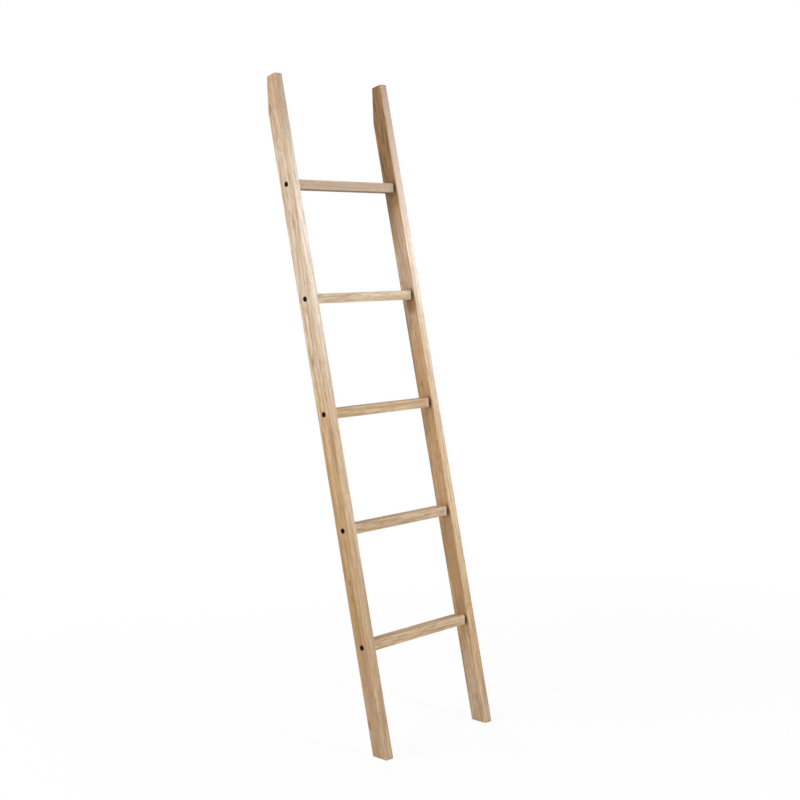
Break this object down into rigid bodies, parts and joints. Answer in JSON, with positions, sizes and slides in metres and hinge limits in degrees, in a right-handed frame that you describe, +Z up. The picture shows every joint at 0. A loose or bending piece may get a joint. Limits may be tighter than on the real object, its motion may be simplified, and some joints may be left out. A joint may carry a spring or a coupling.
{
  "type": "blanket ladder",
  "caption": "Leaning wooden ladder for hanging blankets: straight rails, cut back at the top to lie against a wall, with level rungs bolted between them.",
  "frame": {"origin": "on the floor, midway between the rails, and midway between the front of the feet and the wall", "axes": "+Z up; +Y towards the wall, across the lean; +X to the right of someone who faces the ladder"},
  "size_m": [0.4396, 0.3903, 1.9294],
  "materials": {
    "rail_wood": "pale oak-like wood, clear matt finish",
    "rung_wood": "pale oak-like wood, clear matt finish",
    "black_steel": "black, satin",
    "zinc_alloy": "cast zinc alloy",
    "dowel_beech": "plain beech"
  },
  "bodies": {
    "root": {"left_rail": "rail_wood", "right_rail": "rail_wood", "rung_1": "rung_wood", "rung_2": "rung_wood", "rung_3": "rung_wood", "rung_4": "rung_wood", "rung_5": "rung_wood", "left_bolt_1": "black_steel", "left_bolt_2": "black_steel", "left_bolt_3": "black_steel", "left_bolt_4": "black_steel", "left_bolt_5": "black_steel", "right_bolt_1": "black_steel", "right_bolt_2": "black_steel", "right_bolt_3": "black_steel", "right_bolt_4": "black_steel", "right_bolt_5": "black_steel", "left_insert_1": "zinc_alloy", "left_insert_2": "zinc_alloy", "left_insert_3": "zinc_alloy", "left_insert_4": "zinc_alloy", "left_insert_5": "zinc_alloy", "right_insert_1": "zinc_alloy", "right_insert_2": "zinc_alloy", "right_insert_3": "zinc_alloy", "right_insert_4": "zinc_alloy", "right_insert_5": "zinc_alloy", "left_dowel_1": "dowel_beech", "left_dowel_2": "dowel_beech", "left_dowel_3": "dowel_beech", "left_dowel_4": "dowel_beech", "left_dowel_5": "dowel_beech", "right_dowel_1": "dowel_beech", "right_dowel_2": "dowel_beech", "right_dowel_3": "dowel_beech", "right_dowel_4": "dowel_beech", "right_dowel_5": "dowel_beech"}
  },
  "joints": []
}
